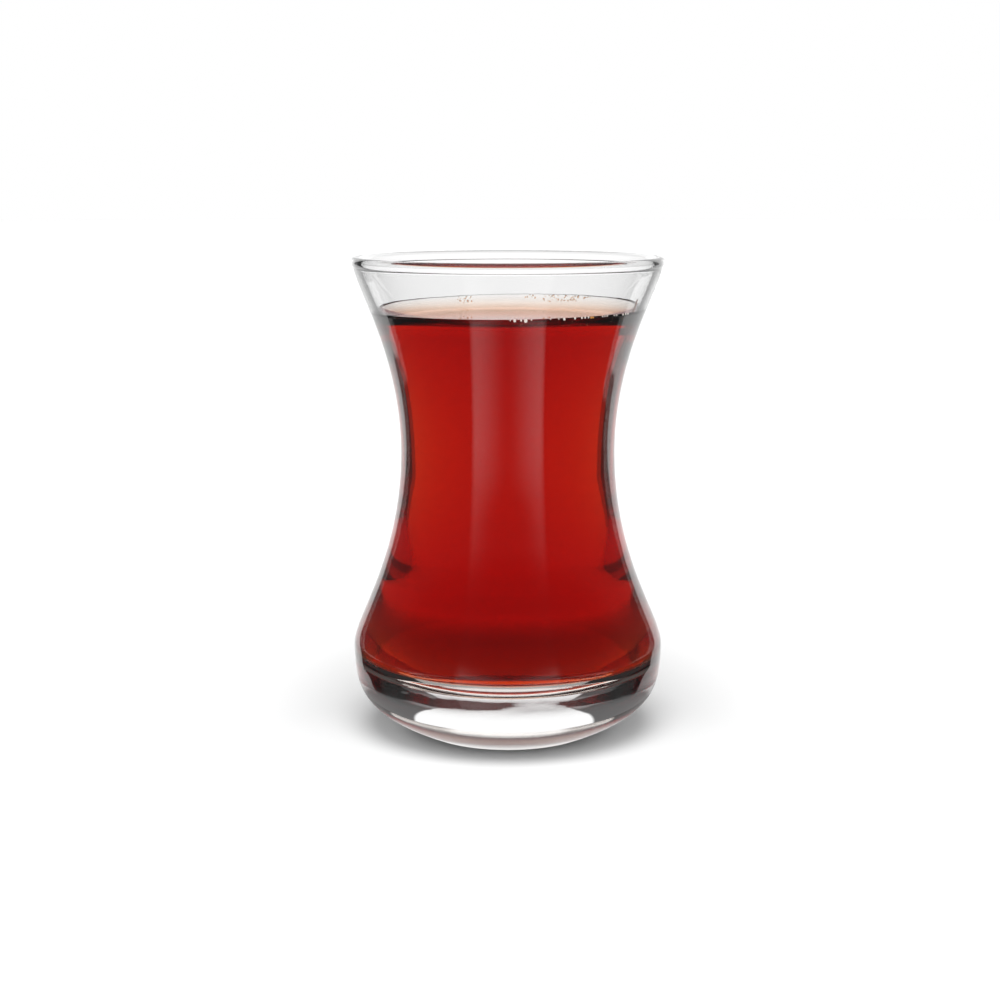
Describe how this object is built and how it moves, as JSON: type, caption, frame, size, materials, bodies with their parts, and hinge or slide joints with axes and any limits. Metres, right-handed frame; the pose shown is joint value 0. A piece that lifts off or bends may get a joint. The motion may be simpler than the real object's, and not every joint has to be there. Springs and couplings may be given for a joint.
{
  "type": "turkish tea glass filled with red tea",
  "caption": "Tulip-shaped tea glass with a narrow waist, round belly, thick clear base and rounded rim, filled nearly to the brim with clear red tea.",
  "frame": {"origin": "centre of the foot, on the surface that the glass stands on", "axes": "+Z is the axis of the glass, pointing up to the rim; the glass is round, so X and Y are free"},
  "size_m": [0.0604, 0.0604, 0.0925],
  "materials": {
    "clear_glass": "clear polished glass",
    "red_tea": "clear red liquid"
  },
  "bodies": {
    "root": {"glass": "clear_glass", "tea": "red_tea"}
  },
  "joints": []
}
